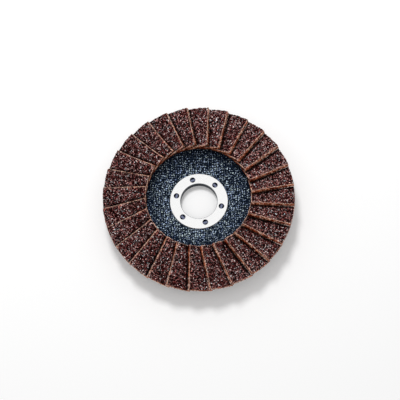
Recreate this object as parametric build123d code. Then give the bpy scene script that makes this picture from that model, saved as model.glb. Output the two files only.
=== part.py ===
from build123d import *
import os
from math import asin, cos, degrees, pi, radians, sin, tan

# A flap disc for an angle grinder. A dished plate of glass cloth and resin
# carries a pressed steel centre ring and, on its flange, a ring of thick
# abrasive flaps laid like shingles in a bed of cured epoxy.
# Sizes are in millimetres. The origin is on the bore's axis at the lowest
# face of the hub, +Z is the spindle axis and the working face looks up.

# Whole disc
disc_d = 115.0
bore_d = 22.23

# Centre ring, pressed from sheet steel
ring_d = 35.1
ring_t = 0.8
sleeve_wall = 0.6
lip_d = 29.0
lip_t = 0.6
bore_edge_r = 0.4
ring_edge_r = 0.25

# Pierced dimples in the ring, whose burrs bite into the plate
dimple_count = 6
dimple_circle_d = 28.0
dimple_first_deg = -14.0
dimple_mouth_d = 3.4
dimple_hole_d = 1.8
burr_root_d = 3.3
burr_tip_d = 2.3
burr_depth = 1.0

# Backing plate, moulded in one piece from glass cloth and resin
hub_t = 3.0
flange_t = 2.4
flange_rise = 4.4
wall_lean_deg = 34.0
dish_bend_r = 6.0
plate_edge_r = 0.6
hub_margin = 3.9
dish_margin = 3.3
flap_overhang = 4.0

# Flaps, cut from a thick abrasive web
flap_count = 28
flap_t = 2.9
flap_w = 14.5
edge_offset = 4.4
first_flap_deg = 1.35

# Adhesive bed
bed_t = 0.5
bed_margin = 0.9

# Clearances
sleeve_gap = 0.10
burr_gap = 0.15
flap_gap = 0.15
seat_gap = 0.05
wedge_gap = 0.35

# Levels and radii that follow from the sizes above
hub_bottom = lip_t
hub_top = hub_bottom + hub_t
ring_top = hub_top + ring_t
flange_top = hub_top + flange_rise
flange_bottom = flange_top - flange_t
bed_top = flange_top + bed_t
sleeve_r = bore_d / 2 + sleeve_wall
flap_pitch = 2 * pi / flap_count

# The hub carries the ring, the wall climbs from the hub, and the flaps start past the wall
hub_r = ring_d / 2 + hub_margin
dish_r = hub_r + flange_rise / tan(radians(wall_lean_deg))
flap_inner = dish_r + dish_margin

# The flaps are trimmed to the disc's edge and stand out past the plate
disc_r = disc_d / 2
rim_r = disc_r - flap_overhang


def flap_slope(station):
    """Angle at which a flap leans so that the next one fits under it."""
    return asin((flap_t + flap_gap) / (station * flap_pitch))


def flap_section(station):
    """Corners of a flap's cross-section, as (across, up) from the radial line."""
    lean = flap_slope(station)
    along = (cos(lean), sin(lean))
    through = (sin(lean), -cos(lean))
    foot = bed_top + seat_gap
    crest = foot + flap_w * along[1] + flap_t * cos(lean)
    top_lead = (edge_offset, crest)
    top_trail = (top_lead[0] - flap_w * along[0], top_lead[1] - flap_w * along[1])
    low_trail = (top_trail[0] + flap_t * through[0], top_trail[1] + flap_t * through[1])
    low_lead = (top_lead[0] + flap_t * through[0], top_lead[1] + flap_t * through[1])
    return top_lead, top_trail, low_trail, low_lead


def upright_face(points, station):
    """Flat face across the radial line +Y at a distance from the axis."""
    corners = [(across, station, up) for across, up in points]
    return make_face(Polyline(*corners, close=True))


def make_flap():
    """One flap, twisted a little from end to end, its outer end trimmed round."""
    stations = (flap_inner, (flap_inner + disc_r) / 2, disc_r)
    strip = loft([upright_face(flap_section(s), s) for s in stations], ruled=True)
    return strip & Cylinder(disc_r, disc_d)


def next_flap_foot(station):
    """Where the next flap's lower edge crosses this flap's cross-section."""
    foot = flap_section(station)[2][0]
    own_station = (station + foot * sin(flap_pitch)) / cos(flap_pitch)
    return foot * cos(flap_pitch) + own_station * sin(flap_pitch)


def wedge_section(station):
    """The triangle of epoxy squeezed up between a flap, the next one and the bed."""
    lean = flap_slope(station)
    foot = flap_section(station)[2][0]
    next_foot = next_flap_foot(station)
    start = foot + wedge_gap / sin(lean)
    crest_across = next_foot - flap_t * sin(lean) - wedge_gap
    crest_up = bed_top + (crest_across - start) * tan(lean)
    end = next_foot - wedge_gap
    # The root lies inside the bed, so that the two become one solid
    root = bed_top - bed_t / 2
    return [(start, root), (end, root), (end, bed_top), (crest_across, crest_up), (start, bed_top)]


def make_bed():
    """Ring of epoxy on the flange, drawn up into a ridge under each flap."""
    inner = flap_inner + bed_margin
    outer = rim_r - bed_margin
    base = Pos(0, 0, flange_top) * extrude(Circle(outer) - Circle(inner), bed_t)
    ends = (inner + bed_margin, outer - bed_margin)
    ridge = loft([upright_face(wedge_section(s), s) for s in ends], ruled=True)
    return base + [turned(ridge, k) for k in range(flap_count)]


def turned(shape, index):
    """A flap or ridge moved clockwise to its place in the ring."""
    return Rot(0, 0, -first_flap_deg - index * degrees(flap_pitch)) * shape


def corner_at(section, radius, height):
    """The corner of a half-section at a radius and a height."""
    return section.vertices().sort_by_distance((radius, 0, height))[0]


def around_dimples(shape):
    """Copies of a shape at each dimple."""
    ring = PolarLocations(dimple_circle_d / 2, dimple_count, dimple_first_deg)
    return [place * shape for place in ring]


def make_plate():
    """Dished laminate: hub, conical wall and flange as one revolved section."""
    hole_r = sleeve_r + sleeve_gap
    half_lean = radians(wall_lean_deg) / 2
    hub_corner = (hub_r + hub_t * tan(half_lean), 0, hub_bottom)
    dish_corner = (dish_r + flange_t * tan(half_lean), 0, flange_bottom)
    section = make_face(Polyline(
        (hole_r, 0, hub_top), (hub_r, 0, hub_top), (dish_r, 0, flange_top), (rim_r, 0, flange_top),
        (rim_r, 0, flange_bottom), dish_corner, hub_corner, (hole_r, 0, hub_bottom), close=True))
    section = fillet(corner_at(section, hub_r, hub_top), dish_bend_r)
    section = fillet(corner_at(section, hub_corner[0], hub_bottom), dish_bend_r + hub_t)
    section = fillet(corner_at(section, dish_r, flange_top), dish_bend_r + flange_t)
    section = fillet(corner_at(section, dish_corner[0], flange_bottom), dish_bend_r)
    section = fillet(corner_at(section, rim_r, flange_top), plate_edge_r)
    section = fillet(corner_at(section, rim_r, flange_bottom), plate_edge_r)
    plate = revolve(section, Axis.Z)
    pit = Cone(burr_tip_d / 2 + burr_gap, burr_root_d / 2 + burr_gap, burr_depth + burr_gap,
               align=(Align.CENTER, Align.CENTER, Align.MAX))
    return plate - around_dimples(Pos(0, 0, hub_top) * pit)


def make_ring():
    """Pressed eyelet: front flange, sleeve and the lip rolled over the back."""
    bore_r = bore_d / 2
    outline = Polyline(
        (bore_r, 0, 0), (lip_d / 2, 0, 0), (lip_d / 2, 0, lip_t), (sleeve_r, 0, lip_t),
        (sleeve_r, 0, hub_top), (ring_d / 2, 0, hub_top), (ring_d / 2, 0, ring_top),
        (bore_r, 0, ring_top), close=True)
    section = make_face(outline)
    section = fillet(corner_at(section, bore_r, 0), bore_edge_r)
    section = fillet(corner_at(section, bore_r, ring_top), bore_edge_r)
    section = fillet(corner_at(section, ring_d / 2, ring_top), ring_edge_r)
    ring = revolve(section, Axis.Z)
    burr = Cone(burr_tip_d / 2, burr_root_d / 2, burr_depth,
                align=(Align.CENTER, Align.CENTER, Align.MAX))
    mouth = Cone(dimple_hole_d / 2, dimple_mouth_d / 2, burr_depth + ring_t,
                 align=(Align.CENTER, Align.CENTER, Align.MAX))
    ring += around_dimples(Pos(0, 0, hub_top) * burr)
    return ring - around_dimples(Pos(0, 0, ring_top) * mouth)


export_step(make_plate(), "parts/backing_plate.step")
export_step(make_ring(), "parts/centre_ring.step")
export_step(make_bed(), "parts/adhesive_bed.step")
flap = make_flap()
for index in range(flap_count):
    export_step(turned(flap, index), f"parts/flap_{index + 1:02d}.step")
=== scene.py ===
# %% [markdown]
# # A grinding disc with thick brown flaps
#
# The disc lies face up on a pale floor. Twenty-eight pads of coarse abrasive web lean on one
# another round the rim, set in epoxy on a dished plate of glass cloth, and a bright pressed
# ring lines the bore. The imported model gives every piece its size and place, in metres. This
# lesson gives each piece the surface that the real one has. The ring and the epoxy keep their
# packed form and get a material. The flaps and the plate are modelled anew in the space of
# their packed form, because grain and weave this coarse break up the outline, and a bump can't.

# %% Load the frame
import bpy
import math
import random
import numpy as np
from mathutils import Matrix, Vector


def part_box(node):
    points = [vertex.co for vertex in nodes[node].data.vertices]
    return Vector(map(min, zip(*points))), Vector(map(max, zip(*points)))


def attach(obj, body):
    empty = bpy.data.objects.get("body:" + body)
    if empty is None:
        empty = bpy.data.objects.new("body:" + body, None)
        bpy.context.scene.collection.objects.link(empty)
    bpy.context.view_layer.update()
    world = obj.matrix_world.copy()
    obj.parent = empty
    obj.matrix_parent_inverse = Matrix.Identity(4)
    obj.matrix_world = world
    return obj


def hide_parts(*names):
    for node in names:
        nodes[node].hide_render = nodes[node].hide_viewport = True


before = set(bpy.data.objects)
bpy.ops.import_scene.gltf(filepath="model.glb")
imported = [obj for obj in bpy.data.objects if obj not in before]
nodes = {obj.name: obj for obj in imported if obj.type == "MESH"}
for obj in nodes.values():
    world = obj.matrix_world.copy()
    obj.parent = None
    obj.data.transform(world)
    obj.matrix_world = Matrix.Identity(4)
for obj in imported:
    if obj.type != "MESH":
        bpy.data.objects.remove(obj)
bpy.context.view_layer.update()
MM = 0.001

# %% [markdown]
# ## The flap's form
#
# A real flap is a rectangle cut from a thick fibre web that is loaded with grain. It is soft
# enough to twist as it is laid: steep at its inner end, where the flaps crowd, and flatter at
# the rim, where the whole ring is then trimmed round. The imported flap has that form, but its
# long triangles would divide unevenly. So only the corners of its cross-section are read, at
# three stations along its length, and a pad with an even grid is bent to them.

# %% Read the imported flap's corners
FLAP_COUNT = len([name for name in nodes if name.startswith("flap_")])
# The first flap is turned this far clockwise from the +Y axis
FIRST_FLAP = math.radians(1.35)
SAME_PLACE = 0.05 * MM


def places(mesh):
    """The places of a mesh's vertices as an array with a row for each."""
    flat = np.empty(len(mesh.vertices) * 3, dtype=np.float32)
    mesh.vertices.foreach_get("co", flat)
    return flat.reshape(-1, 3).astype(float)


def four_corners(near):
    """Top lead, top trail, low trail and low lead corner among the points picked."""
    cut = flap_points[near]
    return cut[[cut[:, 2].argmax(), cut[:, 0].argmin(), cut[:, 2].argmin(), cut[:, 0].argmax()]]


flap_points = places(nodes["flap_01"].data) @ np.array(Matrix.Rotation(FIRST_FLAP, 3, "Z")).T
flap_radius = np.hypot(flap_points[:, 0], flap_points[:, 1])
disc_r = flap_radius.max()
inner_station = flap_points[:, 1].min()
middle_station = (inner_station + disc_r) / 2
inner_corners = four_corners(abs(flap_points[:, 1] - inner_station) < SAME_PLACE)
middle_corners = four_corners(abs(flap_points[:, 1] - middle_station) < SAME_PLACE)
trimmed_corners = four_corners(flap_radius > disc_r - SAME_PLACE)
# The trimmed end is round, so its corner lines are carried on to one station
reach = (disc_r - middle_corners[:, 1]) / (trimmed_corners[:, 1] - middle_corners[:, 1])
outer_corners = middle_corners + (trimmed_corners - middle_corners) * reach[:, None]

# Three stations, with four corners at each, of which the places across and up are kept
corners = np.array([inner_corners, middle_corners, outer_corners])[:, :, [0, 2]]
TOP_LEAD, TOP_TRAIL, LOW_TRAIL, LOW_LEAD = range(4)
ACROSS, UP = range(2)
flap_width = np.linalg.norm(corners[0, TOP_LEAD] - corners[0, TOP_TRAIL])
flap_thick = np.linalg.norm(corners[0, TOP_TRAIL] - corners[0, LOW_TRAIL])
flap_length = disc_r - inner_station
print(FLAP_COUNT, "flaps, in mm:", [round(v / MM, 2) for v in (flap_width, flap_length, flap_thick)])

# %% [markdown]
# ## One pad as a grid
#
# The pad is one thick rectangle of web. A cube with a few subdivisions would have square cells
# only by luck, so the pad starts as a flat grid one unit square, pulled down by one unit. A
# point's place in it then says how far across, along and deep it lies. Its walls are divided
# as finely as its face. Each cell of the grid is about 0.3 mm, which is fine enough to raise
# single grains.

# %% Model the flat pad
CELL = 0.31 * MM
cells_across = round(flap_width / CELL)
cells_along = round(flap_length / CELL)
cells_deep = round(flap_thick / CELL)


def pick(thing=None):
    """Deselects everything, then selects one thing and makes it active."""
    bpy.ops.object.select_all(action="DESELECT")
    bpy.context.view_layer.objects.active = thing
    if thing:
        thing.select_set(True)


pick()
bpy.ops.mesh.primitive_grid_add(x_subdivisions=cells_across, y_subdivisions=cells_along, size=1)
pad = bpy.context.object
pad.name = "pad_pattern"
bpy.ops.object.mode_set(mode="EDIT")
bpy.ops.mesh.select_mode(type="EDGE")
bpy.ops.mesh.select_all(action="SELECT")
bpy.ops.mesh.extrude_region_move(TRANSFORM_OT_translate={"value": (0, 0, -1)})
bpy.ops.mesh.select_all(action="DESELECT")
bpy.ops.object.mode_set(mode="OBJECT")
# The edges that run down the walls have their two ends at different heights
heights = places(pad.data)[:, 2]
for edge in pad.data.edges:
    one_end, other_end = edge.vertices
    edge.select = abs(heights[one_end] - heights[other_end]) > 0.5
bpy.ops.object.mode_set(mode="EDIT")
bpy.ops.mesh.subdivide(number_cuts=cells_deep - 1)
bpy.ops.mesh.select_all(action="SELECT")
bpy.ops.mesh.normals_make_consistent(inside=False)
bpy.ops.object.mode_set(mode="OBJECT")
print("Pad:", len(pad.data.vertices), "vertices,", len(pad.data.polygons), "faces")

# %% [markdown]
# ## Bend the pad to its shingled form
#
# The web twists but doesn't drape, so the pad needs no cloth simulation: every point moves
# straight to its place in the leaning form, and the outer end is trimmed to the disc's edge.
# Each point keeps a note of where it lay in the flat pad, in millimetres. The web's layers run
# with the pad's faces, so the materials read that note and their pattern follows the bend.

# %% Bend it
TRIM_ROUNDS = 3


def put_places(mesh, points):
    """Moves a mesh's vertices to the rows of an array."""
    mesh.vertices.foreach_set("co", points.astype(np.float32).ravel())
    mesh.update()


def note_on(mesh, name, values):
    """Keeps a number or a vector for each vertex, which a material can read by its name."""
    values = np.asarray(values, dtype=np.float32)
    kind, field = ("FLOAT", "value") if values.ndim == 1 else ("FLOAT_VECTOR", "vector")
    mesh.attributes.new(name, kind, "POINT").data.foreach_set(field, values.ravel())


def between(values, t):
    """Smooth curve through three values at the start, middle and end of t from 0 to 1."""
    start, middle, end = values
    return start * (1 - t) * (1 - 2 * t) + middle * 4 * t * (1 - t) + end * t * (2 * t - 1)


def bent(axis, t):
    """One coordinate of every point, ACROSS or UP, at its share of the length."""
    lead, trail, low_trail, low_lead = [between(line, t) for line in corners[:, :, axis].T]
    top = trail + (lead - trail) * across
    low = low_trail + (low_lead - low_trail) * across
    return top + (low - top) * deep


unit = places(pad.data)
across = unit[:, 0] + 0.5
along = unit[:, 1] + 0.5
deep = -unit[:, 2]
# A point's line ends where it meets the round edge, and its bend moves that place, so the
# share of the length that it takes is found in a few rounds
share = along
for _ in range(TRIM_ROUNDS):
    end_station = np.sqrt(disc_r ** 2 - bent(ACROSS, share) ** 2)
    share = along * (end_station - inner_station) / flap_length
station = inner_station + share * flap_length
put_places(pad.data, np.stack([bent(ACROSS, share), station, bent(UP, share)], 1))
flat_place = np.stack([across * flap_width, along * flap_length, deep * flap_thick], 1)
note_on(pad.data, "pad_mm", flat_place / MM)
print("Pad runs in mm from", round(station.min() / MM, 2), "to", round(station.max() / MM, 2))

# %% [markdown]
# ## Where the next pad rests
#
# The pad above rests the foot of its raised edge on this one, and is turned by one pitch. The shadow in
# that corner is too weak under the soft light, so the material paints shade there, and resin and dust
# gather there too. So every point is told how far it lies from the corner, for the material to read.

# %% Note the distance to the seat
PITCH = 2 * math.pi / FLAP_COUNT

foot = between(corners[:, LOW_LEAD, ACROSS], share)
station_above = (station - foot * math.sin(PITCH)) / math.cos(PITCH)
seat = foot * math.cos(PITCH) - station_above * math.sin(PITCH)
to_seat = bent(ACROSS, share) - seat
note_on(pad.data, "to_seat_mm", to_seat / MM)
open_width = corners[:, TOP_LEAD, ACROSS].mean() - seat.mean()
print("Open width in mm:", round(float(open_width / MM), 2))

# %% [markdown]
# ## Where the web lies open
#
# Only part of a pad shows: its edges, and the strip of its face that the next pad leaves
# bare. The rest is pressed against its neighbours. Relief there could push pads through each
# other, so a vertex group weighs the open faces, and the relief fades out beyond them.

# %% Weigh the open faces
FADE = 1.2 * MM
# The relief goes on this far under the next pad, and is full this far above the pad's own foot
UNDER_NEXT = 1.0 * MM
ABOVE_FOOT = 0.4 * MM

bare_width = PITCH * station + UNDER_NEXT
bare_strip = np.clip((bare_width - (1 - across) * flap_width) / FADE, 0, 1)
above_foot = np.clip((1 - deep) * flap_thick / ABOVE_FOOT, 0, 1)
openness = bare_strip * above_foot
open_faces = pad.vertex_groups.new(name="open_faces")
levels = np.round(openness, 1)
for level in np.unique(levels):
    open_faces.add(np.flatnonzero(levels == level).tolist(), float(level), "REPLACE")
print("Open share of the pad:", round(float(openness.mean()), 2))

# %% [markdown]
# ## Grain and pores
#
# The web's face is a crust of resin and grain with open pores between the clumps. Scattering
# thousands of small stones would be heavy, so the Displace modifier raises the grid's own
# points. The relief is a slow sag, so that no two pads lie quite alike, small waves, rounded
# clumps almost a millimetre wide, and finer pits. A real grain is a few tenths of a millimetre,
# which wouldn't show from here, so the clumps are drawn coarser. Each pad has its own place, so
# each gets its own grains from the same patterns.

# %% Patterns for the relief
def pattern(name, kind, size_mm, **settings):
    """A texture for the relief, with its features about so many millimetres wide."""
    made = bpy.data.textures.new(name, kind)
    made.noise_scale = size_mm * MM
    for key, value in settings.items():
        setattr(made, key, value)
    return made


sag_pattern = pattern("slow sag", "CLOUDS", 15, noise_depth=0)
wave_pattern = pattern("edge waves", "CLOUDS", 4.5, noise_depth=2)
clump_pattern = pattern("grain clumps", "VORONOI", 0.9)
pit_pattern = pattern("pores", "CLOUDS", 0.6, noise_depth=1, contrast=2.2)
print("Patterns:", ", ".join(texture.name for texture in bpy.data.textures))


# %% How a pattern moves a pad
def displace(thing, texture, direction, height_mm, still_level, group=""):
    """Moves a thing's points by a pattern, whose still level moves nothing, and applies it."""
    modifier = thing.modifiers.new(texture.name, "DISPLACE")
    modifier.texture = texture
    modifier.texture_coords = "LOCAL"
    modifier.direction = direction
    modifier.strength = height_mm * MM
    modifier.mid_level = still_level
    modifier.vertex_group = group
    bpy.ops.object.modifier_apply(modifier=modifier.name)


def raise_relief(thing):
    """Gives a pad its relief, and notes how far each grain and pore stands from the web's face."""
    displace(thing, sag_pattern, "Z", height_mm=0.6, still_level=0.5)
    displace(thing, wave_pattern, "NORMAL", height_mm=0.65, still_level=0.66, group="open_faces")
    face = places(thing.data)
    outward = np.array([n.vector for n in thing.data.vertex_normals])
    displace(thing, clump_pattern, "NORMAL", height_mm=-0.55, still_level=0.22, group="open_faces")
    displace(thing, pit_pattern, "NORMAL", height_mm=0.42, still_level=0.75, group="open_faces")
    relief = ((places(thing.data) - face) * outward).sum(1) / MM
    note_on(thing.data, "relief_mm", relief)
    return relief


# %% [markdown]
# ## Small helpers for materials
#
# Every material below is a graph of nodes. It could be wired by hand in the shader editor, but
# in code it can be read from top to bottom. One function adds a node, sets its properties and
# fills its inputs, so that a graph reads as a list. Colours are written as sRGB hex values, as
# in a paint program, and turned to the linear values that Blender works in. Patterns read a
# point's place in millimetres, so a pattern's scale is its number of grains or threads to the
# millimetre.

# %% Helpers for colours and nodes
def linear(code):
    """An sRGB hex colour such as 7a4a3c as linear red, green, blue and alpha."""
    parts = [int(code[i:i + 2], 16) / 255 for i in (0, 2, 4)]
    return [c / 12.92 if c <= 0.04045 else ((c + 0.055) / 1.055) ** 2.4 for c in parts] + [1.0]


def add(tree, kind, inputs=None, stops=None, out=0, **settings):
    """Adds a node with its settings, values and links, and gives back one of its outputs.

    An input is named or counted, and is a value or the output that it is linked to. Stops are
    the places and colours of a colour ramp."""
    made = tree.nodes.new(kind)
    for name, value in settings.items():
        setattr(made, name, value)
    for name, value in (inputs or {}).items():
        if isinstance(value, bpy.types.NodeSocket):
            tree.links.new(value, made.inputs[name])
        else:
            made.inputs[name].default_value = value
    for i, (place, code) in enumerate(stops or []):
        ramp = made.color_ramp.elements
        stop = ramp[i] if i < 2 else ramp.new(place)
        stop.position = place
        stop.color = linear(code)
    return made.outputs[out] if made.outputs else made


def new_material(name, shader_inputs):
    """An empty material with a Principled shader, and its tree and shader to build on."""
    made = bpy.data.materials.new(name)
    made.use_nodes = True
    tree = made.node_tree
    tree.nodes.clear()
    surface = add(tree, "ShaderNodeBsdfPrincipled", shader_inputs)
    add(tree, "ShaderNodeOutputMaterial", {"Surface": surface})
    return made, tree, surface.node


def place_in_mm(tree):
    """A point's place on the object, in millimetres."""
    place = add(tree, "ShaderNodeTexCoord", out="Object")
    return add(tree, "ShaderNodeVectorMath", {0: place, 1: (1000, 1000, 1000)}, operation="MULTIPLY")


# %% [markdown]
# ## The flaps' crust
#
# The web is polyamide fibre bound with resin and brown aluminium oxide, so it is dull, with no single
# colour: dark resin in the pores, with painted shade deep in them, maroon and red-brown clumps, and a few
# pale grey-pink grains, whose glints are painted up to white. One smooth noise would look like a stain. A
# cell pattern gives every grain a lot of its own instead, and a ramp turns lots into those colours. The
# grains are drawn half a millimetre wide, coarser than real ones, so that they show.

# %% Colour of the crust
GRAINS_PER_MM = 1.95
SPECKS_PER_MM = 2.3


def crust_colour(tree, per_mm, lots):
    """Colour of the web's face: single grains, dark pores with painted shade, and painted shade in the
    corner at the seat.
    """
    # The palest lots, up to white, are painted glints on the grains' facets
    crust = add(tree, "ShaderNodeValToRGB", {0: lots["Red"]}, stops=[
        (0.0, "060202"), (1.0, "ffffff"), (0.30, "160404"), (0.47, "4c1816"),
        (0.62, "8a403e"), (0.79, "ba7c78"), (0.91, "f0c0ba")])
    # Some grains are a cooler grey brown, others a warmer red brown
    cast = add(tree, "ShaderNodeMix", {
        "Factor": lots["Green"], "A": (0.88, 1.10, 1.18, 1), "B": (1.10, 0.98, 0.94, 1)},
        data_type="RGBA", out="Result")
    crust = add(tree, "ShaderNodeVectorMath", {0: crust, 1: cast}, operation="MULTIPLY")
    # Broken grain and resin between them make specks that are lighter or darker
    specks = add(tree, "ShaderNodeTexNoise", {"Vector": per_mm, "Scale": SPECKS_PER_MM, "Detail": 2.0})
    shade = add(tree, "ShaderNodeMapRange", {
        "Value": specks, "From Min": 0.42, "From Max": 0.58, "To Min": 0.05, "To Max": 1.5})
    crust = add(tree, "ShaderNodeVectorMath", {0: crust, "Scale": shade}, operation="SCALE")
    # The relief's pores are painted near black: dark resin, and painted shade deep in them
    relief = add(tree, "ShaderNodeAttribute", attribute_name="relief_mm", out="Fac")
    proud = add(tree, "ShaderNodeMapRange", {"Value": relief, "From Min": -0.47, "From Max": -0.1})
    crust = add(tree, "ShaderNodeMix", {"Factor": proud, "A": linear("0c0403"), "B": crust},
                data_type="RGBA", out="Result")
    # Shade is painted in the corner where the next pad rests, where resin and dust also gather
    to_seat = add(tree, "ShaderNodeAttribute", attribute_name="to_seat_mm", out="Fac")
    seat_shade = add(tree, "ShaderNodeMapRange", {
        "Value": to_seat, "From Min": 0.3, "From Max": 1.3, "To Min": 0.12, "To Max": 1.0})
    return add(tree, "ShaderNodeVectorMath", {0: crust, "Scale": seat_shade}, operation="SCALE")


# %% [markdown]
# ## The flaps' rubbed edges
#
# Handling and cutting rub the grain off along the raised edge and the inner end. The bare fibre
# there is pale, and beside it the crust is stained orange in patches. A painted mask would need
# an image, so the mask is the distance to those edges, from the pad's note, frayed by noise.

# %% Colour of the rubbed edges
# The fray adds about half of this to the distance, so 1.2 mm stands for the edge itself
FRAY_MM = 2.4


def rubbed_colour(tree, crust, lot, pad_parts, fray, patch):
    """The crust's colour with pale fibre on its edges and an orange stain beside them."""
    to_lead = add(tree, "ShaderNodeMath", {0: flap_width / MM, 1: pad_parts["X"]}, operation="SUBTRACT")
    to_inner = add(tree, "ShaderNodeMath", {0: pad_parts["Y"], 1: 1.5}, operation="MULTIPLY")
    to_edge = add(tree, "ShaderNodeMath", {0: to_inner, 1: to_lead}, operation="MINIMUM")
    frayed = add(tree, "ShaderNodeMath", {0: fray, 1: FRAY_MM, 2: to_edge}, operation="MULTIPLY_ADD")

    patchy = add(tree, "ShaderNodeMapRange", {
        "Value": patch, "From Min": 0.42, "From Max": 0.62, "To Min": 0.15, "To Max": 1.0})
    stained = add(tree, "ShaderNodeMapRange", {
        "Value": frayed, "From Min": 1.7, "From Max": 3.6, "To Min": 0.5, "To Max": 0.0})
    stained = add(tree, "ShaderNodeMath", {0: stained, 1: patchy}, operation="MULTIPLY")
    orange = add(tree, "ShaderNodeVectorMath", {0: crust, 1: (1.7, 0.9, 0.55)}, operation="MULTIPLY")
    tinted = add(tree, "ShaderNodeMix", {"Factor": stained, "A": crust, "B": orange},
                 data_type="RGBA", out="Result")

    rubbed = add(tree, "ShaderNodeMapRange", {
        "Value": frayed, "From Min": 1.3, "From Max": 1.8, "To Min": 0.9, "To Max": 0.0})
    worn = add(tree, "ShaderNodeMapRange", {"Value": lot, "To Min": 0.6, "To Max": 1.5})
    bare = add(tree, "ShaderNodeVectorMath", {0: linear("dcb8a6")[:3], "Scale": worn}, operation="SCALE")
    return add(tree, "ShaderNodeMix", {"Factor": rubbed, "A": tinted, "B": bare},
               data_type="RGBA", out="Result")


# %% [markdown]
# ## The flaps' cuts
#
# A cut through the web shows its fibre, tan to orange, in thin layers that follow the sheet,
# with the pale backing cloth as a line along its lower edge. The layers are thinner than the
# grid's cells, so they are drawn and not modelled: a noise that the pad's note squeezes
# through the thickness, which leaves streaks that are long in the sheet.

# %% Colour of the cuts
BACKING_MM = 0.6
BACKING_BLUR_MM = 0.2


def fibre_colour(tree, per_mm, lot, pad_mm, pad_parts, fray, patch):
    """Colour of the web's cuts: layers of fibre, painted shade low down, and the backing."""
    squeezed = add(tree, "ShaderNodeVectorMath", {0: pad_mm, 1: (0.3, 0.3, 2.0)}, operation="MULTIPLY")
    shifted = add(tree, "ShaderNodeVectorMath", {0: per_mm, 1: (0.7, 0.7, 0.7), 2: squeezed},
                  operation="MULTIPLY_ADD")
    streak = add(tree, "ShaderNodeTexNoise", {"Vector": shifted, "Scale": 1.0, "Detail": 3.0})
    streak = add(tree, "ShaderNodeMath", {0: patch, 1: 0.5, 2: streak}, operation="MULTIPLY_ADD")
    fibre = add(tree, "ShaderNodeValToRGB", {0: streak}, stops=[
        (0.57, "280a06"), (0.93, "ffdcc8"), (0.66, "7c2c1a"), (0.74, "b05434"), (0.82, "d88e68")])
    # Some grain is caught in the cut too
    caught = add(tree, "ShaderNodeMapRange", {"Value": lot, "To Min": 0.25, "To Max": 1.7})
    fibre = add(tree, "ShaderNodeVectorMath", {0: fibre, "Scale": caught}, operation="SCALE")
    # Shade is painted on the cut: it is lightest along its upper edge and dark further down, towards its
    # foot
    low_cut_shade = add(tree, "ShaderNodeMapRange", {
        "Value": pad_parts["Z"], "From Min": 1.6, "From Max": 2.6, "To Min": 1.1, "To Max": 0.12})
    fibre = add(tree, "ShaderNodeVectorMath", {0: fibre, "Scale": low_cut_shade}, operation="SCALE")

    # The backing cloth frays, and stands out most at the rim
    backing_top = flap_thick / MM - BACKING_MM
    backing = add(tree, "ShaderNodeMapRange", {
        "Value": pad_parts["Z"], "From Min": backing_top, "From Max": backing_top + BACKING_BLUR_MM})
    rimward = add(tree, "ShaderNodeMapRange", {
        "Value": pad_parts["Y"], "From Max": flap_length / MM, "To Min": -0.25, "To Max": 0.25})
    torn = add(tree, "ShaderNodeMath", {0: fray, 1: rimward}, operation="ADD")
    whole = add(tree, "ShaderNodeMapRange", {"Value": torn, "From Min": 0.62, "From Max": 0.78})
    backing = add(tree, "ShaderNodeMath", {0: backing, 1: whole}, operation="MULTIPLY")
    return add(tree, "ShaderNodeMix", {"Factor": backing, "A": fibre, "B": linear("ffe0d4")},
               data_type="RGBA", out="Result")


# %% [markdown]
# ## The whole web
#
# Crust, edges and cuts are one material, because on the real flap one runs into the next. The
# depth in the pad says whether a point lies on the face or on a cut. Grit that is finer than
# the mesh is left to a bump.

# %% Abrasive web
FRAYS_PER_MM = 1.2
PATCHES_PER_MM = 0.3
GRIT_PER_MM = 2.6


def make_web():
    """Brown abrasive web: grain on its faces and tan fibre on its cuts."""
    made, tree, shader = new_material("brown_aluminium_oxide_web", {
        "Roughness": 0.85, "Specular IOR Level": 0.05})
    per_mm = place_in_mm(tree)
    pad_mm = add(tree, "ShaderNodeAttribute", attribute_name="pad_mm", out="Vector")
    pad_parts = add(tree, "ShaderNodeSeparateXYZ", {0: pad_mm}).node.outputs
    grain = add(tree, "ShaderNodeTexVoronoi", {"Vector": per_mm, "Scale": GRAINS_PER_MM}, out="Color")
    lots = add(tree, "ShaderNodeSeparateColor", {0: grain}).node.outputs
    fray = add(tree, "ShaderNodeTexNoise", {"Vector": per_mm, "Scale": FRAYS_PER_MM, "Detail": 3.0})
    patch = add(tree, "ShaderNodeTexNoise", {"Vector": per_mm, "Scale": PATCHES_PER_MM, "Detail": 1.0})

    crust = crust_colour(tree, per_mm, lots)
    face = rubbed_colour(tree, crust, lots["Red"], pad_parts, fray, patch)
    cut = fibre_colour(tree, per_mm, lots["Red"], pad_mm, pad_parts, fray, patch)
    on_cut = add(tree, "ShaderNodeMapRange", {"Value": pad_parts["Z"], "From Min": 0.2, "From Max": 0.7})
    colour = add(tree, "ShaderNodeMix", {"Factor": on_cut, "A": face, "B": cut},
                 data_type="RGBA", out="Result")
    tree.links.new(colour, shader.inputs["Base Color"])

    grit = add(tree, "ShaderNodeTexVoronoi", {"Vector": per_mm, "Scale": GRIT_PER_MM})
    bump = add(tree, "ShaderNodeBump", {"Strength": 0.7, "Distance": 0.12 * MM, "Height": grit},
               invert=True)
    tree.links.new(bump, shader.inputs["Normal"])
    return made


web = make_web()
print("Web:", len(web.node_tree.nodes), "nodes")

# %% [markdown]
# ## Lay the flaps
#
# A machine presses the pads into wet epoxy one after another, so each lies a little askew and
# a little high or low. An Array modifier would lay them all alike, so the pad is copied with
# its own mesh, turned to its place, and gets its relief only there. The scatter comes from a
# fixed seed, so that every run lays the same ring.

# %% Copy the pad round the ring
ASKEW_DEGREES = 0.45
LIFT_MM = 0.05
dice = random.Random(28)


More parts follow.
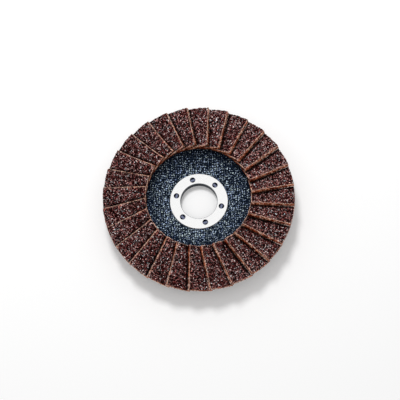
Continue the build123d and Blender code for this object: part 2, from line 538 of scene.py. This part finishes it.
def lay_flap(index):
    """A copy of the pad with its own mesh, turned to its place in the ring."""
    thing = pad.copy()
    thing.data = pad.data.copy()
    thing.name = f"web_flap_{index + 1:02d}"
    bpy.context.scene.collection.objects.link(thing)
    askew = math.radians(dice.uniform(-ASKEW_DEGREES, ASKEW_DEGREES))
    lift = dice.uniform(-LIFT_MM, LIFT_MM) * MM
    turn = Matrix.Rotation(-FIRST_FLAP - index * PITCH + askew, 4, "Z")
    thing.data.transform(Matrix.Translation((0, 0, lift)) @ turn)
    pick(thing)
    relief = raise_relief(thing)
    bpy.ops.object.shade_smooth()
    thing.data.materials.append(web)
    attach(thing, "root")
    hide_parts(f"flap_{index + 1:02d}")
    return relief


reliefs = [lay_flap(index) for index in range(FLAP_COUNT)]
bpy.data.objects.remove(pad)
print("Relief in mm, lowest, middle and highest:",
      [round(float(np.percentile(reliefs, p)), 2) for p in (0, 50, 100)])

# %% [markdown]
# ## The plate's section
#
# The plate is glass cloth pressed to a dish in dark resin. It is round, so one cross-section
# tells its whole form. Its sizes could be typed in again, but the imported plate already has
# them. Rays cast down and up on it, halfway between two holes of the ring, give that section,
# close together where the plate shows and far apart where the flaps and the ring cover it.

# %% Read the plate's section
plate_node = nodes["backing_plate"]
edge_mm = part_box("backing_plate")[1][0] / MM
SECTION_ANGLE = math.radians(16)
RAY_START = 100 * MM
# Radii in millimetres: at the hole, and a little under the ring, its rolled lip and the flaps
HOLE_MM = 11.83
RING_MM = 16.8
LIP_MM = 14.0
FLAPS_MM = 33.2
# Steps in millimetres from one point of the section to the next
FRONT_STEP = 0.36
BACK_STEP = 0.52
EDGE_STEP = 0.11


def plate_height(radius, above):
    """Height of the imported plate's upper or lower face at a radius."""
    height = RAY_START if above else -RAY_START
    start = Vector((radius * math.cos(SECTION_ANGLE), radius * math.sin(SECTION_ANGLE), height))
    found, where, _, _ = plate_node.ray_cast(start, Vector((0, 0, -1 if above else 1)))
    assert found, f"no plate at {radius}"
    return where.z


def radii(*stretches):
    """Radii in metres from stretches of first, last and step in millimetres."""
    return np.concatenate([np.arange(first, last, step) for first, last, step in stretches]) * MM


flat_end_mm = edge_mm - 0.8
rounded_edge = (edge_mm - 0.7, edge_mm, EDGE_STEP)
upper_radii = radii((HOLE_MM, RING_MM, 1.6), (RING_MM, FLAPS_MM, FRONT_STEP),
                    (FLAPS_MM, flat_end_mm, 4), rounded_edge)
lower_radii = radii((HOLE_MM, LIP_MM, 1.0), (LIP_MM, flat_end_mm, BACK_STEP), rounded_edge)
upper = [(r, plate_height(r, True)) for r in upper_radii]
lower = [(r, plate_height(r, False)) for r in lower_radii]
section = upper + lower[::-1]
print("Plate section:", len(section), "points")

# %% [markdown]
# ## Turn the plate
#
# A circle of as many points becomes the section, and a spin about the bore's axis turns it
# into the plate, as a potter's template would. The Screw modifier does the same, but spin
# leaves a plain mesh at once. Its steps are fine enough for the weave that comes next.

# %% Spin the section
SPIN_STEPS = 500

pick()
bpy.ops.mesh.primitive_circle_add(vertices=len(section), radius=1)
plate = bpy.context.object
plate.name = "woven_plate"
put_places(plate.data, np.array([(r, 0, z) for r, z in section]))
bpy.ops.object.mode_set(mode="EDIT")
bpy.ops.mesh.select_all(action="SELECT")
bpy.ops.mesh.spin(steps=SPIN_STEPS, angle=2 * math.pi, center=(0, 0, 0), axis=(0, 0, 1))
bpy.ops.mesh.select_all(action="SELECT")
bpy.ops.mesh.remove_doubles(threshold=0.001 * MM)
bpy.ops.mesh.normals_make_consistent(inside=False)
bpy.ops.object.mode_set(mode="OBJECT")
print("Plate:", len(plate.data.vertices), "vertices,", len(plate.data.polygons), "faces")

# %% [markdown]
# ## Weave
#
# Two sets of yarns cross over and under each other, and the resin only half fills the hollows
# between them. Modelling each yarn would take far more points and hide most of them. Only the
# cloth's surface shows, so the plate's own points are moved. The height of each set is a
# rounded hump across the yarn, raised and lowered along it, and the higher of the two is what
# shows. The cloth is draped over the dish, so in plan its yarns stay nearly straight.

# %% Height of the weave
YARN_MM = 1.35
# Pressing pushed the yarns aside: a slow sway over about 20 mm and a wobble over about 4 mm
SWAY_MM = 0.3
WOBBLE_MM = 0.16


def yarn_height(across_yarn, along_yarn, side):
    """Height from 0 to 1 of one set of yarns, which rises over every other crossing."""
    number = np.floor(across_yarn)
    hump = np.sqrt(np.clip(1 - (2 * (across_yarn - number) - 1) ** 2, 0, 1))
    rise = 0.5 + 0.5 * np.cos(math.pi * (along_yarn - 0.5 + number + side))
    return hump * (0.35 + 0.65 * rise)


points = places(plate.data)
x, y = points[:, 0] / MM, points[:, 1] / MM
push_y = SWAY_MM * np.sin(0.31 * x + 1.1 * np.sin(0.17 * y)) + WOBBLE_MM * np.sin(1.3 * x + 0.9 * y)
push_x = SWAY_MM * np.sin(0.27 * y + 1.3 * np.sin(0.21 * x)) + WOBBLE_MM * np.sin(1.1 * y - 1.2 * x)
u = (x + push_x) / YARN_MM
v = (y + push_y) / YARN_MM
weave = np.maximum(yarn_height(u, v, 0), yarn_height(v, u, 1))
print("Weave: yarns", YARN_MM, "mm apart, mean height", round(float(weave.mean()), 2))

# %% Raise the weave where it shows
WEAVE_MM = 0.26
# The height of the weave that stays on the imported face, and the one given to what is covered
STILL_HEIGHT = 0.6
COVERED_HEIGHT = 0.5
# Radii in millimetres between which the front and the back show
FRONT_MM = (17.2, 33)
BACK_MM = (14.8, edge_mm - 1.2)
# Fewer glints are painted towards the flaps, and a fixed share over the back
GLINTS_FEWEST_MM = 37
GLINTS_FADE_OVER_MM = 16
BACK_GLINT_SHARE = 0.5

from_axis = np.hypot(points[:, 0], points[:, 1]) / MM
outward = np.array([n.vector for n in plate.data.vertex_normals])
in_dish = (from_axis > FRONT_MM[0]) & (from_axis < FRONT_MM[1])
on_back = (from_axis > BACK_MM[0]) & (from_axis < BACK_MM[1])
shown = np.where(outward[:, 2] > 0, in_dish, on_back)
weave = np.where(shown, weave, COVERED_HEIGHT)
points += outward * ((weave - STILL_HEIGHT) * WEAVE_MM * shown * MM)[:, None]
put_places(plate.data, points)
note_on(plate.data, "weave", weave)
glint_share = np.clip((GLINTS_FEWEST_MM - from_axis) / GLINTS_FADE_OVER_MM, 0.1, 1)
note_on(plate.data, "glint_share", np.where(outward[:, 2] > 0, glint_share, BACK_GLINT_SHARE))
pick(plate)
bpy.ops.object.shade_smooth()
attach(plate, "root")
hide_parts("backing_plate")
print("Weave covers", round(float(shown.mean()), 2), "of the plate's points")

# %% [markdown]
# ## Material of the plate
#
# Dark phenolic resin, almost black and a little blue, lies deep between the yarns. On top of each
# crossing it is thin, and the pale glass shows through, with a small cold glint. The glints differ from
# crossing to crossing, because the resin was squeezed out unevenly. A glossy shader would make them slide
# as the view turns, so the glints are painted highlights in the colour on the crowns of the weave. The
# threads in a yarn are too fine to show, so the bump draws them coarser.

# %% Glass cloth in resin
BLOTCHES_PER_MM = 1.65
GLINTS_PER_MM = 1.45
THREADS_PER_MM = 3.0
# The pierced holes lie on this radius, and a glint is painted on the plate this far to each side of it
HOLE_CIRCLE_MM = 14.0
HOLE_GLINT_MM = 0.62


def distance_from_axis(tree, per_mm):
    """A point's distance from the bore's axis, in millimetres."""
    flat = add(tree, "ShaderNodeVectorMath", {0: per_mm, 1: (1, 1, 0)}, operation="MULTIPLY")
    return add(tree, "ShaderNodeVectorMath", {0: flat}, operation="LENGTH", out="Value")


def make_laminate():
    """Dark resin, with pale glass and painted glints on the crowns of the weave."""
    made, tree, shader = new_material("glass_cloth_in_phenolic_resin", {
        "Roughness": 0.5, "Specular IOR Level": 0.04})
    per_mm = place_in_mm(tree)
    # Pale glass and painted glints show where the weave is high and the resin thin, in blotches
    height = add(tree, "ShaderNodeAttribute", attribute_name="weave", out="Fac")
    blotch = add(tree, "ShaderNodeTexNoise", {"Vector": per_mm, "Scale": BLOTCHES_PER_MM, "Detail": 2.0})
    crown = add(tree, "ShaderNodeMath", {0: blotch, 1: 2.6, 2: height}, operation="MULTIPLY_ADD")
    # Fewer glints are painted towards the flaps
    thin = add(tree, "ShaderNodeAttribute", attribute_name="glint_share", out="Fac")
    bared = add(tree, "ShaderNodeMath", {0: thin, 1: 0.24, 2: crown}, operation="MULTIPLY_ADD")
    glass = add(tree, "ShaderNodeMapRange", {"Value": bared, "From Min": 2.36, "From Max": 2.54})
    cell = add(tree, "ShaderNodeTexVoronoi", {"Vector": per_mm, "Scale": GLINTS_PER_MM}, out="Color")
    lots = add(tree, "ShaderNodeSeparateColor", {0: cell}).node.outputs
    glint = add(tree, "ShaderNodeValToRGB", {0: lots["Red"]}, stops=[
        (0.15, "12161a"), (0.68, "ffffff"), (0.34, "626870"), (0.52, "ccd0d4")])
    # The resin film tints the painted glints: some white with a trace of teal, and others blue
    film = add(tree, "ShaderNodeMix", {
        "Factor": lots["Green"], "A": linear("ecfffa"), "B": linear("b4ccff")},
        data_type="RGBA", out="Result")
    glint = add(tree, "ShaderNodeMix", {"Factor": 1.0, "A": glint, "B": film},
                data_type="RGBA", blend_type="MULTIPLY", out="Result")
    resin = add(tree, "ShaderNodeValToRGB", {0: height}, stops=[(0.2, "010204"), (0.95, "0a182a")])
    colour = add(tree, "ShaderNodeMix", {"Factor": glass, "A": resin, "B": glint},
                 data_type="RGBA", out="Result")
    # A pale blue-grey glint is painted on the plate at the bottom of the ring's holes
    radius = distance_from_axis(tree, per_mm)
    hole_glint = add(tree, "ShaderNodeMath", {0: radius, 1: HOLE_CIRCLE_MM, 2: HOLE_GLINT_MM}, operation="COMPARE")
    colour = add(tree, "ShaderNodeMix", {"Factor": hole_glint, "A": colour, "B": linear("787e96")},
                 data_type="RGBA", out="Result")
    tree.links.new(colour, shader.inputs["Base Color"])
    threads = add(tree, "ShaderNodeTexNoise", {"Vector": per_mm, "Scale": THREADS_PER_MM, "Detail": 2.0})
    bump = add(tree, "ShaderNodeBump", {"Strength": 0.5, "Distance": 0.08 * MM, "Height": threads})
    tree.links.new(bump, shader.inputs["Normal"])
    return made


plate.data.materials.append(make_laminate())
print("Laminate:", len(plate.data.materials[0].node_tree.nodes), "nodes")

# %% [markdown]
# ## The ring
#
# The eyelet is pressed from sheet steel and zinc plated, so its face is bright and smooth and mirrors the
# pale room. Inside the six pierced holes and in the bore, shade is painted as a dark blue-grey. Separate
# materials on those faces would need them picked out on the imported mesh, so one material tells them
# apart by their height and their distance from the axis.

# %% Zinc-plated steel
SMEARS_PER_MM = 0.35
# The holes are what lies below the ring's face and above its back, this near to their circle
HOLE_REACH_MM = 2.2
BELOW_FACE_MM = (0.10, 0.03)
ABOVE_BACK_MM = 0.9
# The painted shade in the bore ends on its rounded edge, between these radii
BORE_EDGE_MM = (11.2, 11.4)
ring_top_mm = round(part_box("centre_ring")[1][2] / MM, 3)


def make_plated_steel():
    """Bright plating, with shade painted dark blue-grey in the pierced holes and in the bore."""
    made, tree, shader = new_material("bright_zinc_plated_steel", {"Metallic": 1.0})
    per_mm = place_in_mm(tree)
    radius = distance_from_axis(tree, per_mm)
    height = add(tree, "ShaderNodeSeparateXYZ", {0: per_mm}, out="Z")
    below_face = add(tree, "ShaderNodeMapRange", {
        "Value": height, "From Min": ring_top_mm - BELOW_FACE_MM[0],
        "From Max": ring_top_mm - BELOW_FACE_MM[1], "To Min": 1.0, "To Max": 0.0})
    in_band = add(tree, "ShaderNodeMath", {0: radius, 1: HOLE_CIRCLE_MM, 2: HOLE_REACH_MM},
                  operation="COMPARE")
    in_hole = add(tree, "ShaderNodeMath", {0: below_face, 1: in_band}, operation="MULTIPLY")
    above_back = add(tree, "ShaderNodeMath", {0: height, 1: ABOVE_BACK_MM}, operation="GREATER_THAN")
    in_hole = add(tree, "ShaderNodeMath", {0: in_hole, 1: above_back}, operation="MULTIPLY")
    in_bore = add(tree, "ShaderNodeMapRange", {
        "Value": radius, "From Min": BORE_EDGE_MM[0], "From Max": BORE_EDGE_MM[1],
        "To Min": 1.0, "To Max": 0.0})
    # Shade is painted dark blue-grey in the bore
    face = add(tree, "ShaderNodeMix", {"Factor": in_bore, "A": linear("f7f7f7"), "B": linear("303c48")},
               data_type="RGBA", out="Result")
    # Shade is painted dark blue-grey on the walls of the pierced holes
    colour = add(tree, "ShaderNodeMix", {"Factor": in_hole, "A": face, "B": linear("2a2e44")},
                 data_type="RGBA", out="Result")
    tree.links.new(colour, shader.inputs["Base Color"])
    smear = add(tree, "ShaderNodeTexNoise", {"Vector": per_mm, "Scale": SMEARS_PER_MM, "Detail": 3.0})
    gloss = add(tree, "ShaderNodeMapRange", {"Value": smear, "To Min": 0.18, "To Max": 0.36})
    tree.links.new(gloss, shader.inputs["Roughness"])
    return made


nodes["centre_ring"].data.materials.clear()
nodes["centre_ring"].data.materials.append(make_plated_steel())
print("Ring: packed form kept, face at", ring_top_mm, "mm")

# %% [markdown]
# ## The epoxy
#
# The bed of epoxy that holds the flaps is all but hidden under them. It was poured brown and
# set a little glossy, with grinding dust in its skin. Its packed form is right as it is, so it
# needs a material and no new mesh.

# %% Cured epoxy
DUST_PER_MM = 1.2


def make_epoxy():
    """Dark brown epoxy, a little glossy, with grit and dust in its skin."""
    made, tree, shader = new_material("cured_epoxy", {"Roughness": 0.45, "Specular IOR Level": 0.3})
    dust = add(tree, "ShaderNodeTexNoise", {
        "Vector": place_in_mm(tree), "Scale": DUST_PER_MM, "Detail": 3.0})
    colour = add(tree, "ShaderNodeValToRGB", {0: dust}, stops=[(0.35, "120a07"), (0.7, "3c2417")])
    tree.links.new(colour, shader.inputs["Base Color"])
    bump = add(tree, "ShaderNodeBump", {"Strength": 0.5, "Distance": 0.2 * MM, "Height": dust})
    tree.links.new(bump, shader.inputs["Normal"])
    return made


nodes["adhesive_bed"].data.materials.clear()
nodes["adhesive_bed"].data.materials.append(make_epoxy())
print("Epoxy: packed form kept")

# %% [markdown]
# ## Floor
#
# The disc lies on a plain, pale, dull floor. More light would make it whiter, but would also
# bleach the disc, so the floor glows a little, and only for the camera.

# %% Pale floor
FLOOR_GLOW = 0.14

pick()
bpy.ops.mesh.primitive_plane_add(size=4)
floor = bpy.context.object
floor.name = "studio_floor"
paint, tree, shader = new_material("pale_floor", {
    "Base Color": linear("f2f2f2"), "Roughness": 0.9, "Specular IOR Level": 0.0,
    "Emission Color": (1, 1, 1, 1)})
by_camera = add(tree, "ShaderNodeLightPath", out="Is Camera Ray")
glow = add(tree, "ShaderNodeMath", {0: by_camera, 1: FLOOR_GLOW}, operation="MULTIPLY")
tree.links.new(glow, shader.inputs["Emission Strength"])
floor.data.materials.append(paint)
print("Floor glows by", FLOOR_GLOW)

# %% [markdown]
# ## Light
#
# One soft lamp stands beyond the top of the picture, a little to the left, so that the raised
# edges on the right throw short shadows, and a bright sky fills the rest. A ring of lamps would
# light the flaps evenly and flatten them. Only the sky is mirrored: the lamp's own reflection
# would burn the ring out to white.

# %% Sky and lamp
SKY = 0.56
LAMP_WATTS = 3.5
LAMP_SIZE = 0.24
LAMP_PLACE = (-0.12, 0.42, 0.68)

world = bpy.data.worlds.new("soft_sky")
bpy.context.scene.world = world
world.use_nodes = True
tree = world.node_tree
tree.nodes.clear()
path = add(tree, "ShaderNodeLightPath").node.outputs
seen = add(tree, "ShaderNodeMath", {0: path["Is Camera Ray"], 1: path["Is Glossy Ray"]},
           operation="MAXIMUM")
strength = add(tree, "ShaderNodeMapRange", {"Value": seen, "To Min": SKY, "To Max": 1.0})
sky = add(tree, "ShaderNodeBackground", {"Color": (1, 1, 1, 1), "Strength": strength})
add(tree, "ShaderNodeOutputWorld", {"Surface": sky})

bpy.ops.object.light_add(type="AREA", location=LAMP_PLACE)
lamp = bpy.context.object
lamp.name = "key_lamp"
lamp.data.shape = "DISK"
lamp.data.size = LAMP_SIZE
lamp.data.energy = LAMP_WATTS
lamp.visible_glossy = False
lamp.rotation_euler = Vector(LAMP_PLACE).to_track_quat("Z", "Y").to_euler()
print("Lamp:", LAMP_WATTS, "W,", round(Vector(LAMP_PLACE).length, 2), "m away")

# %% [markdown]
# ## Camera
#
# The camera looks down from the front, tilted 19 degrees from straight down and swung a little
# to the right. A track-to constraint could aim it, but its three axes are just as soon worked
# out from those two angles. It stands far away, with a long lens, to flatten the view.

# %% Camera
CAMERA_FAR = 0.6
CAMERA_TILT = math.radians(19)
CAMERA_SWING = math.radians(5)
SENSOR_MM = 36
PICTURE_PIXELS = 400
PIXELS_PER_MM = 1.653
AIM = Vector((0.66, 0.57, 4.4)) * MM

bpy.ops.object.camera_add()
camera = bpy.context.object
toward = Vector((math.sin(CAMERA_SWING) * math.sin(CAMERA_TILT),
                 -math.cos(CAMERA_SWING) * math.sin(CAMERA_TILT), math.cos(CAMERA_TILT)))
camera.location = AIM + toward * CAMERA_FAR
side = Vector((0, 1, 0)).cross(toward).normalized()
upward = toward.cross(side)
camera.rotation_euler = Matrix((side, upward, toward)).transposed().to_euler()
camera.data.sensor_width = SENSOR_MM
camera.data.lens = PIXELS_PER_MM * SENSOR_MM / PICTURE_PIXELS * CAMERA_FAR / MM
camera.data.clip_start = 10 * MM
bpy.context.scene.camera = camera
bpy.context.scene.view_settings.view_transform = "Standard"
print("Lens:", round(camera.data.lens, 1), "mm")
